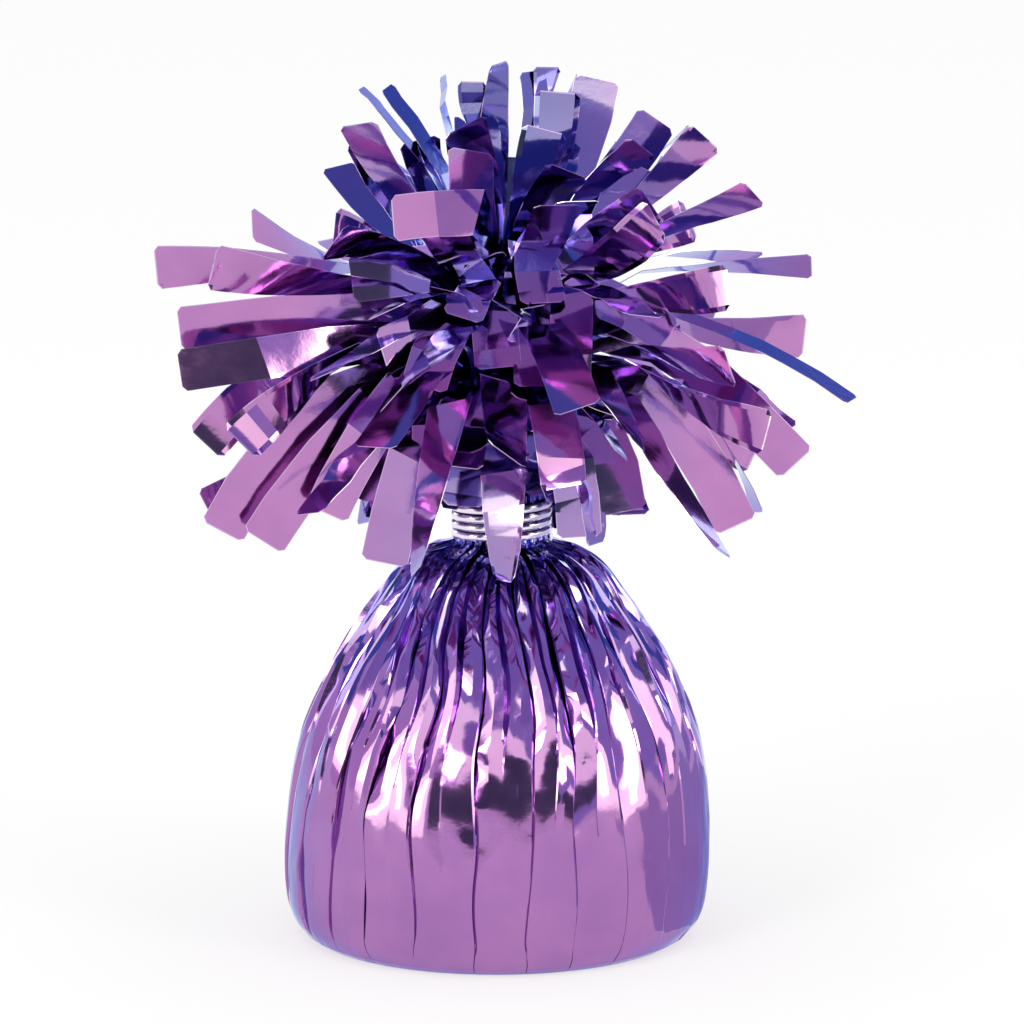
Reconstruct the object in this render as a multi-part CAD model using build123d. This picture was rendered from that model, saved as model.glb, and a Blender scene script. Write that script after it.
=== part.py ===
from build123d import *
import math
import os

os.makedirs("parts", exist_ok=True)

# A balloon weight: a plastic cup with a cast weight and a snap lid stands inside one sheet of
# metallised film. The sheet is gathered above the cup and bound by a wound tie, and the rest of
# it is cut into narrow strips that spread like a fountain. Millimetres, +Z up. The origin is
# the centre of the flat base.

# Cup, cast weight and lid
CUP_RADIUS = 31.0
CUP_HEIGHT = 25.0
CUP_WALL = 0.9
CUP_CORNER = 7.0
CAST_GAP = 0.1
LID_FLANGE = 1.0
LID_PLUG_DEPTH = 3.0
LID_PLUG_WALL = 0.9
LID_GAP = 0.1
AIR_SPACE = 2.5

# Film wrapped round the cup
FILM = 0.4
FILM_SLACK = 0.8
PLEAT_COUNT = 24
PLEAT_WANDER = 0.22
PLEAT_BEAT = 2.4
WALL_PLEAT = 0.5
SHOULDER_PLEAT = 2.0
NECK_PLEAT = 1.3
WALL_LIP = 0.06
SHOULDER_LIP = 0.28
NECK_LIP = 0.42
TUCK_DEPTH = 1.2
TUCK_START = 0.1
TUCK_FULL = 0.5
TUCK_WANDER = 0.06
TUCK_BEAT = 1.7
BELLY = 1.2
FOOT_TUCK = 2.2
FOOT_RISE = 4.0
BELLY_RISE = 12.0
SHOULDER_RISE = 37.0
NECK_RADIUS = 7.2
# Shoulder above the lid: share of the rise, and share of the rim's reach beyond the neck
SHOULDER_LINE = [(0.22, 0.935), (0.4, 0.83), (0.57, 0.685), (0.74, 0.51), (0.9, 0.34), (0.965, 0.17)]

# Wound tie round the neck
TIE_DIAMETER = 1.0
TIE_PITCH = 1.45
TIE_TURNS = 4.5
TIE_GAP = 0.2
TIE_MARGIN = 0.4

# Film bunched inside the neck, and the stem that the strips leave
GATHER_GAP = 0.3
GATHER_DROP = 1.0
STEM_PLAY = 1.3
STEM_TIP_RADIUS = 1.5
STEM_SEAT_GAP = 0.2
STEM_PIVOT_DROP = 2.0
STEM_CLEAR = 0.9
STEM_TIP = 3.1

# Outer layers of the bunch, which flare above the tie
FLARE_FLUTES = 14
FLARE_BORE = 5.3
FLARE_FOOT = 1.2
# Height above the foot, ridge radius and flute depth of each level of the flare
FLARE_LEVELS = [(0.0, 5.8, 0.0), (0.7, 7.6, 0.6), (2.0, 9.2, 1.1), (3.8, 10.6, 1.4), (5.7, 11.6, 1.6)]

# Fringe strips
STRIP_WIDTH = 6.8
STRIP_FILM = 0.25
STRIP_SEGMENTS = 6
STRIP_BENDS = 3
ROOT_GAP = 0.3
ROOT_SPREAD = 0.84
TIER_FIRST = 1.4
TIER_STEP = 2.3
LENGTH_WANDER = 0.09
TAIL_WANDER = 0.24
RISE_WANDER = 3.0
SWING_WANDER = 6.0
ROLL_WANDER = 40.0
SIDE_ROLL = 76.0
ROLL_POWER = 2.2
TIP_BEND = 16.0
STEEPEST = -84.0
TIER_BEAT = 2.7
SLOT_BEAT = 1.9
SLOT_SQUARE_BEAT = 5.1
PHASE_BEAT = 2.3

# Strips in each tier, from the lowest: count, slope where they leave the stem, slope at which
# they end, and length
TIERS = [
    (8, 66.0, -74.0, 36.0),
    (12, 70.0, -48.0, 64.0),
    (12, 73.5, -31.0, 63.0),
    (12, 75.5, -15.0, 63.0),
    (12, 77.0, 4.0, 62.0),
    (12, 79.0, 24.0, 57.0),
    (10, 80.5, 41.0, 54.0),
    (8, 82.0, 59.0, 51.0),
    (6, 87.0, 77.0, 50.0),
]
CROWN_TIER = 6
CROWN_LEAN = 0.2

# Strips that stand out from their tier: (tier, slot): share of the length, extra roll
ODD_STRIPS = {
    (0, 6): (0.95, 70.0),
    (1, 0): (0.86, 0.0),
    (1, 8): (0.92, 0.0),
    (1, 9): (0.7, 20.0),
    (1, 11): (0.84, 30.0),
    (2, 1): (1.0, 25.0),
    (2, 5): (0.9, 60.0),
    (2, 6): (0.88, 0.0),
    (2, 7): (0.85, 20.0),
    (3, 0): (1.0, 30.0),
    (3, 1): (1.0, 20.0),
    (3, 6): (1.0, 0.0),
    (3, 11): (1.0, 35.0),
    (4, 0): (0.92, 0.0),
    (4, 4): (1.0, -30.0),
    (4, 6): (1.0, -35.0),
    (5, 1): (1.0, 20.0),
    (5, 4): (1.0, -25.0),
    (5, 5): (0.66, 0.0),
    (5, 6): (0.7, -45.0),
    (5, 7): (0.85, 0.0),
    (6, 2): (1.0, 0.0),
    (6, 4): (0.84, 0.0),
    (7, 1): (1.0, 0.0),
    (7, 2): (0.8, 60.0),
    (8, 2): (0.9, 60.0),
    (8, 3): (0.9, 0.0),
}
ODD_TIPS = {(6, 2): -8.0, (7, 1): 8.0}

# Every second strip of one tier is loose: it flutters from its second fold
LOOSE_TIER = 4
LOOSE_FOLD = 2
LOOSE_GAP = 0.4

# Heights that follow from the sizes above
CUP_FLOOR = FILM
CUP_RIM = CUP_FLOOR + CUP_HEIGHT
LID_TOP = CUP_RIM + LID_FLANGE
NECK_FOOT = LID_TOP + SHOULDER_RISE
COLLAR_HEIGHT = TIE_TURNS * TIE_PITCH + TIE_DIAMETER + 2 * TIE_MARGIN
NECK_TOP = NECK_FOOT + COLLAR_HEIGHT
PIVOT = NECK_TOP - STEM_PIVOT_DROP
STEM_FOOT = NECK_TOP + STEM_CLEAR
TOP_ROOT = NECK_TOP + TIER_FIRST + (len(TIERS) - 1) * TIER_STEP
STEM_HEIGHT = TOP_ROOT + STEM_TIP - STEM_FOOT
COLLAR_BORE = NECK_RADIUS - NECK_PLEAT - FILM
STEM_RADIUS = COLLAR_BORE - STEM_PLAY
FULL_TURN = 360.0


def tub(radius, height, corner):
    """A round tub standing on z = 0, with its bottom edge rounded."""
    body = Cylinder(radius, height, align=(Align.CENTER, Align.CENTER, Align.MIN))
    return fillet(body.edges().sort_by(Axis.Z)[0], corner)


def save(node, *solids):
    shape = solids[0] if len(solids) == 1 else Compound(children=list(solids))
    shape.label = node
    export_step(shape, f"parts/{node}.step")


# Cup, weight cast in it and lid
INNER_RADIUS = CUP_RADIUS - CUP_WALL
INNER_CORNER = CUP_CORNER - CUP_WALL
CAST_DEPTH = CUP_HEIGHT - CUP_WALL - LID_PLUG_DEPTH - AIR_SPACE


def make_cup():
    hollow = Pos(0, 0, CUP_WALL) * tub(INNER_RADIUS, CUP_HEIGHT, INNER_CORNER)
    return Pos(0, 0, CUP_FLOOR) * (tub(CUP_RADIUS, CUP_HEIGHT, CUP_CORNER) - hollow)


def make_cast_weight():
    block = tub(INNER_RADIUS - CAST_GAP, CAST_DEPTH, INNER_CORNER)
    return Pos(0, 0, CUP_FLOOR + CUP_WALL) * block


def make_cup_lid():
    flange = Pos(0, 0, CUP_RIM) * extrude(Circle(CUP_RADIUS), LID_FLANGE)
    plug_radius = INNER_RADIUS - LID_GAP
    ring = Circle(plug_radius) - Circle(plug_radius - LID_PLUG_WALL)
    plug = Pos(0, 0, CUP_RIM - LID_PLUG_DEPTH) * extrude(ring, LID_PLUG_DEPTH)
    return flange + plug


# Film wrap: a shell with pleats that run from the base up into the neck
RIM_RIDGE = CUP_RADIUS + FILM_SLACK + FILM + WALL_PLEAT


def wrap_levels():
    """Height, ridge radius, pleat depth, tuck depth and pleat lip of each level of the wrap."""
    levels = [
        (0.0, RIM_RIDGE - FOOT_TUCK, WALL_PLEAT, 0.0, WALL_LIP),
        (FOOT_RISE, RIM_RIDGE + BELLY / 2, WALL_PLEAT, 0.0, WALL_LIP),
        (BELLY_RISE, RIM_RIDGE + BELLY, WALL_PLEAT, 0.0, WALL_LIP),
        (LID_TOP, RIM_RIDGE, WALL_PLEAT, 0.0, WALL_LIP),
    ]
    for share, reach in SHOULDER_LINE:
        radius = NECK_RADIUS + (RIM_RIDGE - NECK_RADIUS) * reach
        depth = WALL_PLEAT + (SHOULDER_PLEAT - WALL_PLEAT) * share
        gathered = min(1.0, (share - TUCK_START) / (TUCK_FULL - TUCK_START))
        lip = WALL_LIP + (SHOULDER_LIP - WALL_LIP) * gathered
        levels.append((LID_TOP + share * SHOULDER_RISE, radius, depth, TUCK_DEPTH * gathered, lip))
    levels.append((NECK_FOOT, NECK_RADIUS, NECK_PLEAT, 0.0, NECK_LIP))
    levels.append((NECK_TOP, NECK_RADIUS, NECK_PLEAT, 0.0, NECK_LIP))
    return levels


def pleat_angle(pleat):
    """Where a pleat runs up the wrap, unevenly spaced round it."""
    step = 2 * pleat - 1
    stray = PLEAT_WANDER * math.sin(PLEAT_BEAT * (step % (2 * PLEAT_COUNT)))
    return math.pi * (step + stray) / PLEAT_COUNT


def pleated_loop(height, ridge, depth, tuck, lip):
    """One level's outline: panels between the pleats, each tucked once near its middle."""
    points = []
    for pleat in range(PLEAT_COUNT):
        start, end = pleat_angle(pleat), pleat_angle(pleat + 1)
        middle = (1 + TUCK_WANDER * math.sin(TUCK_BEAT * pleat)) / 2
        for share, drop in ((0.0, depth), (lip, 0.0), (middle, tuck), (1.0 - lip, 0.0)):
            angle = start + (end - start) * share
            radius = ridge - drop
            points.append((radius * math.cos(angle), radius * math.sin(angle), height))
    return Wire.make_polygon(points)


def make_foil_wrap():
    levels = wrap_levels()
    outside = Solid.make_loft([pleated_loop(*level) for level in levels], ruled=True)
    inner = []
    for height, ridge, *folds in levels:
        drop = FILM if LID_TOP < height < NECK_TOP else 0.0
        inner.append((height - drop, ridge - FILM, *folds))
    inner[0] = (FILM, *inner[0][1:])
    inside = Solid.make_loft([pleated_loop(*level) for level in inner], ruled=True)
    return outside - inside


# Neck tie: one length of wire wound round the gathered film
TIE_RADIUS = NECK_RADIUS + TIE_GAP + TIE_DIAMETER / 2
TIE_START = NECK_FOOT + TIE_MARGIN + TIE_DIAMETER / 2
QUARTERS = 4
TIE_SAMPLES = 24


def tie_point(turn):
    angle = 2 * math.pi * turn
    height = TIE_START + TIE_PITCH * turn
    return Vector(TIE_RADIUS * math.cos(angle), TIE_RADIUS * math.sin(angle), height)


def tie_heading(turn):
    angle = 2 * math.pi * turn
    around = 2 * math.pi * TIE_RADIUS
    return Vector(-around * math.sin(angle), around * math.cos(angle), TIE_PITCH).normalized()


def biarc(start, start_heading, end, end_heading):
    """Two arcs that meet in one tangent and keep the headings at both ends."""
    chord = end - start
    headings = start_heading + end_heading
    bend = 2 * start_heading.dot(end_heading) - 2
    along = chord.dot(headings)
    reach = (along - math.sqrt(along**2 - bend * chord.dot(chord))) / bend
    middle = (start + end + (start_heading - end_heading) * reach) / 2
    heading = (chord - headings * reach).normalized()
    first = Edge.make_tangent_arc(start, start_heading, middle)
    return [first, Edge.make_tangent_arc(middle, heading, end)]


def make_neck_tie():
    stops = [quarter / QUARTERS for quarter in range(int(TIE_TURNS * QUARTERS) + 1)]
    first, last = stops[0], stops[-1]
    tail_start = tie_point(first) - tie_heading(first) * TIE_DIAMETER
    tail_end = tie_point(last) + tie_heading(last) * TIE_DIAMETER
    edges = [Edge.make_line(tail_start, tie_point(first))]
    for a, b in zip(stops, stops[1:]):
        edges += biarc(tie_point(a), tie_heading(a), tie_point(b), tie_heading(b))
    edges.append(Edge.make_line(tie_point(last), tail_end))
    path = Wire(edges)
    section = Plane(origin=tail_start, z_dir=tie_heading(first)) * Circle(TIE_DIAMETER / 2)
    tie = sweep(section, path=path)
    samples = [tie_point(n / TIE_SAMPLES) for n in range(int(TIE_TURNS * TIE_SAMPLES) + 1)]
    apart = 3 * TIE_SAMPLES // 4
    gap = min((a - b).length for n, a in enumerate(samples) for b in samples[n + apart:])
    print(f"neck_tie: least gap between turns {gap - TIE_DIAMETER:.2f} mm")
    expected = path.length * math.pi * TIE_DIAMETER**2 / 4
    print(f"neck_tie: volume {tie.volume:.1f} of {expected:.1f} mm3, length {path.length:.0f} mm")
    return tie


# Bunched film inside the neck, and the stem that carries the strips
def make_neck_gather():
    bottom = NECK_FOOT - GATHER_DROP
    top = PIVOT - STEM_RADIUS - STEM_SEAT_GAP
    plug = Cylinder(COLLAR_BORE - GATHER_GAP, top - bottom)
    return Pos(0, 0, (bottom + top) / 2) * plug


def make_fringe_stem():
    low = Pos(0, 0, PIVOT) * Sphere(STEM_RADIUS)
    shaft_height = STEM_FOOT - PIVOT
    shaft = Pos(0, 0, PIVOT + shaft_height / 2) * Cylinder(STEM_RADIUS, shaft_height)
    cone = Cone(STEM_RADIUS, STEM_TIP_RADIUS, STEM_HEIGHT)
    return low + shaft + Pos(0, 0, STEM_FOOT + STEM_HEIGHT / 2) * cone


# Flare: a fluted funnel round the foot of the stem
def fluted_loop(height, ridge, depth):
    points = []
    for step in range(2 * FLARE_FLUTES):
        angle = math.pi * step / FLARE_FLUTES
        radius = ridge - depth * (step % 2)
        points.append((radius * math.cos(angle), radius * math.sin(angle), height))
    return Wire.make_polygon(points)


def make_film_flare():
    foot = NECK_TOP + FLARE_FOOT
    outside = Solid.make_loft([fluted_loop(foot + z, r, d) for z, r, d in FLARE_LEVELS], ruled=True)
    bore = Pos(0, 0, foot) * Cylinder(FLARE_BORE, 2 * FILM)
    return outside - Pos(0, 0, FILM) * outside - bore


# Fringe: film strips in tiers, each bent outward and then running straight
def wander(tier, slot, phase):
    """A steady, uneven value from -1 to 1 for one strip."""
    beat = SLOT_BEAT * slot + SLOT_SQUARE_BEAT * slot**2
    return math.sin(TIER_BEAT * tier + beat + PHASE_BEAT * phase)


def strip_folds(tier, slot):
    """Centre, heading, width direction and width at each fold of one strip."""
    count, leave, end, length = TIERS[tier]
    root_height = NECK_TOP + TIER_FIRST + tier * TIER_STEP
    taper = max(0.0, root_height - STEM_FOOT) / STEM_HEIGHT
    root_radius = STEM_RADIUS + (STEM_TIP_RADIUS - STEM_RADIUS) * taper + ROOT_GAP
    around = FULL_TURN / count * (slot + tier % 2 / 2)
    sideways = math.cos(math.radians(around))
    if tier >= CROWN_TIER:
        sideways = max(0.0, sideways)
    end += RISE_WANDER * wander(tier, slot, 2)
    swing = SWING_WANDER * wander(tier, slot, 3)
    tail = 1 - TAIL_WANDER * (1 + wander(tier, slot, 6)) / 2
    share, extra_roll = ODD_STRIPS.get((tier, slot), (tail, 0.0))
    roll = ROLL_WANDER * wander(tier, slot, 4) - SIDE_ROLL * sideways + extra_roll
    tip = ODD_TIPS.get((tier, slot), TIP_BEND * wander(tier, slot, 5))
    length *= 1 + LENGTH_WANDER * wander(tier, slot, 1)
    bend_step = length / STRIP_SEGMENTS
    tail_step = (share * length - STRIP_BENDS * bend_step) / (STRIP_SEGMENTS - STRIP_BENDS)
    lean = Vector(CROWN_LEAN if tier >= CROWN_TIER else 0.0, 0, 0)
    spread = 2 * ROOT_SPREAD * math.tan(math.pi / count)
    headings = []
    for segment in range(STRIP_SEGMENTS):
        slope = leave + (end - leave) * min(1.0, segment / STRIP_BENDS)
        slope += tip * max(0, segment - STRIP_BENDS) / (STRIP_SEGMENTS - 1 - STRIP_BENDS)
        rise = math.radians(max(STEEPEST, slope))
        flat = Vector(1, 0, 0).rotate(Axis.Z, around + swing * segment / STRIP_SEGMENTS)
        upright = flat * math.cos(rise) + Vector(0, 0, math.sin(rise))
        headings.append((upright + lean * (segment / STRIP_SEGMENTS)).normalized())
    place = Vector(root_radius, 0, root_height).rotate(Axis.Z, around)
    folds = []
    for fold in range(STRIP_SEGMENTS + 1):
        before = headings[max(0, fold - 1)]
        after = headings[min(STRIP_SEGMENTS - 1, fold)]
        along = (before + after).normalized()
        tilt = roll * (fold / STRIP_SEGMENTS) ** ROLL_POWER
        across = Vector(0, 0, 1).cross(along).normalized().rotate(Axis((0, 0, 0), along), tilt)
        width = min(STRIP_WIDTH, spread * math.hypot(place.X, place.Y))
        folds.append((place, along, across, width))
        place = place + after * (bend_step if fold < STRIP_BENDS else tail_step)
    return folds


def make_strip(folds):
    """A thin strip through these folds, with flat facets between them."""
    rings = []
    for place, along, across, width in folds:
        side = across * (width / 2)
        skin = along.cross(across) * (STRIP_FILM / 2)
        left, right = place + side, place - side
        rings.append([left + skin, right + skin, right - skin, left - skin])
    loops = [rings[0][::-1], rings[-1]]
    for low, high in zip(rings, rings[1:]):
        loops += [[low[0], low[1], high[1]], [low[0], high[1], high[0]]]
        loops += [[low[1], low[2], high[2]], [low[1], high[2], high[1]]]
        loops += [[low[2], low[3], high[2]], [low[3], high[3], high[2]]]
        loops += [[low[3], low[0], high[3]], [low[0], high[0], high[3]]]
    faces = [Face(Wire.make_polygon(loop)) for loop in loops]
    return Solid(Shell(faces))


def split_strip(folds):
    """The fixed root and the loose tail of a strip, parted at the fold where it flutters."""
    place, along, across, width = folds[LOOSE_FOLD]
    root_end = (place - along * (LOOSE_GAP / 2), along, across, width)
    tail_start = (place + along * (LOOSE_GAP / 2), along, across, width)
    root = make_strip(folds[:LOOSE_FOLD] + [root_end])
    return root, make_strip([tail_start] + folds[LOOSE_FOLD + 1:])


save("cup", make_cup())
save("cast_weight", make_cast_weight())
save("cup_lid", make_cup_lid())
save("foil_wrap", make_foil_wrap())
save("neck_tie", make_neck_tie())
save("neck_gather", make_neck_gather())
save("fringe_stem", make_fringe_stem())
save("film_flare", make_film_flare())
for tier, (count, leave, end, length) in enumerate(TIERS):
    fixed = []
    for slot in range(count):
        folds = strip_folds(tier, slot)
        if tier == LOOSE_TIER and slot % 2 == 0:
            root, tail = split_strip(folds)
            fixed.append(root)
            save(f"loose_strip_{slot // 2 + 1}", tail)
        else:
            fixed.append(make_strip(folds))
    save(f"fringe_tier_{tier + 1}", *fixed)
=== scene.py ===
import bpy
import math
import random
from mathutils import Matrix, Vector, noise


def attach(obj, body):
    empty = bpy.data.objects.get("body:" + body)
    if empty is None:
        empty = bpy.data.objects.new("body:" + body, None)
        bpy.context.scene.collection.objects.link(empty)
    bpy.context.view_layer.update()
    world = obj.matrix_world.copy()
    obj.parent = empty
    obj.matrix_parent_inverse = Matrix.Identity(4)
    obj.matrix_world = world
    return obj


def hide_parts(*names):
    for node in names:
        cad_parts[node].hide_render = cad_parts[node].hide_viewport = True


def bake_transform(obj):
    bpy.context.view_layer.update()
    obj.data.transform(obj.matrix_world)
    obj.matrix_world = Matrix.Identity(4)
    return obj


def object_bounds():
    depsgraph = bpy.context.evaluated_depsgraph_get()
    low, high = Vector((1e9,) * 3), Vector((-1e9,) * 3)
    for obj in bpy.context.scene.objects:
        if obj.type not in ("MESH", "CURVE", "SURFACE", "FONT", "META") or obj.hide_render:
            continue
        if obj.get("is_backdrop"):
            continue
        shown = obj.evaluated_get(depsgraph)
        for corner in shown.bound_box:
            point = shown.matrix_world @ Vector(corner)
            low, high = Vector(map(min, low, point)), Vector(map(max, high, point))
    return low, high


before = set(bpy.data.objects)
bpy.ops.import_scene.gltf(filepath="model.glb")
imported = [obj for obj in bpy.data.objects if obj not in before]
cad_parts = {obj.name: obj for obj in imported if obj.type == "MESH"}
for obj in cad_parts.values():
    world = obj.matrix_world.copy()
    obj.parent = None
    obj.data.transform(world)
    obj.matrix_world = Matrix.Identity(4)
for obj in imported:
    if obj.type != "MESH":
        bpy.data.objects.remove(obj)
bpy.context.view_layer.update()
bpy.ops.object.select_all(action="DESELECT")


# Cup: a thin tub of milky polypropylene, injection moulded, which gives the wrapped body its drum
# shape. It stands on the film and nothing of it shows while the film is closed.
GRAIN_SHADE = 0.8


def plain_material(name, colour, roughness, grain, depth):
    """A dielectric with a fine grain in its colour and its surface."""
    made = bpy.data.materials.new(name)
    made.use_nodes = True
    nodes, links = made.node_tree.nodes, made.node_tree.links
    shader = nodes["Principled BSDF"]
    shader.inputs["Roughness"].default_value = roughness
    place = nodes.new("ShaderNodeTexCoord")
    speckle = nodes.new("ShaderNodeTexNoise")
    speckle.inputs["Scale"].default_value = grain
    speckle.inputs["Detail"].default_value = 4
    links.new(place.outputs["Object"], speckle.inputs["Vector"])
    shades = nodes.new("ShaderNodeValToRGB")
    shades.color_ramp.elements[0].position = 0.3
    shades.color_ramp.elements[0].color = [GRAIN_SHADE * c for c in colour] + [1]
    shades.color_ramp.elements[1].position = 0.7
    shades.color_ramp.elements[1].color = [*colour, 1]
    links.new(speckle.outputs["Fac"], shades.inputs["Fac"])
    links.new(shades.outputs["Color"], shader.inputs["Base Color"])
    relief = nodes.new("ShaderNodeBump")
    relief.inputs["Strength"].default_value = 0.3
    relief.inputs["Distance"].default_value = depth
    links.new(speckle.outputs["Fac"], relief.inputs["Height"])
    links.new(relief.outputs["Normal"], shader.inputs["Normal"])
    return made


def dress_node(node, material):
    """Gives one of the solids its material."""
    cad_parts[node].data.materials.clear()
    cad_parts[node].data.materials.append(material)


cup_plastic = plain_material(
    "cup_plastic", colour=(0.82, 0.82, 0.8), roughness=0.42, grain=900, depth=0.00005
)
dress_node("cup", cup_plastic)

# Cast weight: plaster with stone grit, poured into the cup and left to set. It holds the balloons
# down and fills the cup to just under the lid.
cast_stone = plain_material(
    "cast_stone", colour=(0.46, 0.44, 0.41), roughness=0.9, grain=420, depth=0.0004
)
dress_node("cast_weight", cast_stone)

# Cup lid: a snap lid of the same polypropylene, moulded in one piece. Its plug ring grips the
# inside of the cup and keeps the filling in.
dress_node("cup_lid", cup_plastic)


# Film wrap: one sheet of purple lacquered, metallised polyester. It lies flat under the cup, runs
# up the sides in smooth panels and is gathered into deep folds above the lid and into the neck.
PLEATS = 24
PLEAT_WANDER = 0.22
PLEAT_BEAT = 2.4
TUCK_WANDER = 0.06
TUCK_BEAT = 1.7
# Radius and height of the panels, from the middle of the base to the top of the neck, with the
# number of rows up to the next place, the depth of the folds there and the size of the crumples
WRAP_LINE = [
    (0.0000, 0.0000, 3, 0.00000, 0.00000),
    (0.0150, 0.0000, 3, 0.00010, 0.00000),
    (0.0280, 0.0000, 2, 0.00020, 0.00000),
    (0.0304, 0.0004, 2, 0.00030, 0.00003),
    (0.0319, 0.0018, 3, 0.00040, 0.00005),
    (0.0332, 0.0045, 9, 0.00045, 0.00007),
    (0.0339, 0.0120, 11, 0.00050, 0.00008),
    (0.0336, 0.0200, 9, 0.00050, 0.00013),
    (0.0329, 0.0268, 8, 0.00090, 0.00019),
    (0.0317, 0.0325, 9, 0.00360, 0.00028),
    (0.0297, 0.0385, 10, 0.00700, 0.00038),
    (0.0268, 0.0445, 10, 0.00900, 0.00050),
    (0.0233, 0.0500, 10, 0.00950, 0.00060),
    (0.0196, 0.0550, 9, 0.00950, 0.00060),
    (0.0162, 0.0595, 7, 0.00650, 0.00052),
    (0.0122, 0.0622, 6, 0.00320, 0.00040),
    (0.0078, 0.0636, 5, 0.00180, 0.00020),
    (0.0071, 0.0660, 9, 0.00130, 0.00012),
    (0.0071, 0.0717, 0, 0.00130, 0.00012),
]
# How deep the folds at the front run down the smooth wall, and the depths that the others take
FRONT_FOLDS = {
    13: 0.3, 14: 0.6, 15: 0.1, 16: 1.5, 17: 0.1, 18: 0.6, 19: 0.5, 20: 1.3, 21: 0.7, 22: 0.15, 23: 0.6,
}
OTHER_FOLDS = [0.1, 0.3, 0.5, 1.2]
# Shares of a panel: the mouths of gathered folds, the gaps of all folds, and the folds' lips
FOLD_MOUTHS = [0.002, 0.004, 0.007, 0.011, 0.02]
FOLD_GAP = 0.008
NECK_GAP = 0.16
LIP_WIDTH = 0.03
TUCK_LIP = 0.03
TUCK_SPREAD = 0.05
FOLD_RUFFLE = 1.6
# How far the lips and the tucks are drawn in, and the heights at which tucks start and grow
LIP_DROP = 0.00016
TUCK_DEPTH = 0.0009
TUCK_STARTS = (0.027, 0.038)
TUCK_RISE = 0.01
# Height at which the film changes, and the height over which the change grows
WALL = (0.002, 0.004)
PILLOW = (0.022, 0.016)
GATHER = (0.034, 0.013)
NECK = (0.0605, 0.003)
PILLOW_DEPTH = 0.0010
PANEL_COLUMNS = 14
PANEL_RUN = 4
PANEL_LINES = 6
PANEL_STEPS = (0.00005, 0.0003)
NOD_DEPTH = 0.0005
NOD_BEAT = 60
NOD_PHASE = 4
SWAY = 0.05
GATHERED_SWAY = 0.06
SWAY_TURN = 2.2
SWAY_RISE = 60
KINK_NEAR = 0.0040
KINK_FAR = 0.0095
WRAP_SLUMP = 0.0009
SLUMP_HEIGHT = 0.05
WRAP_SEED = 11
FILM_SKIN = 0.00012
FILM_SMOOTH = math.radians(14)
MERGE_REACH = 0.000001


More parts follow.
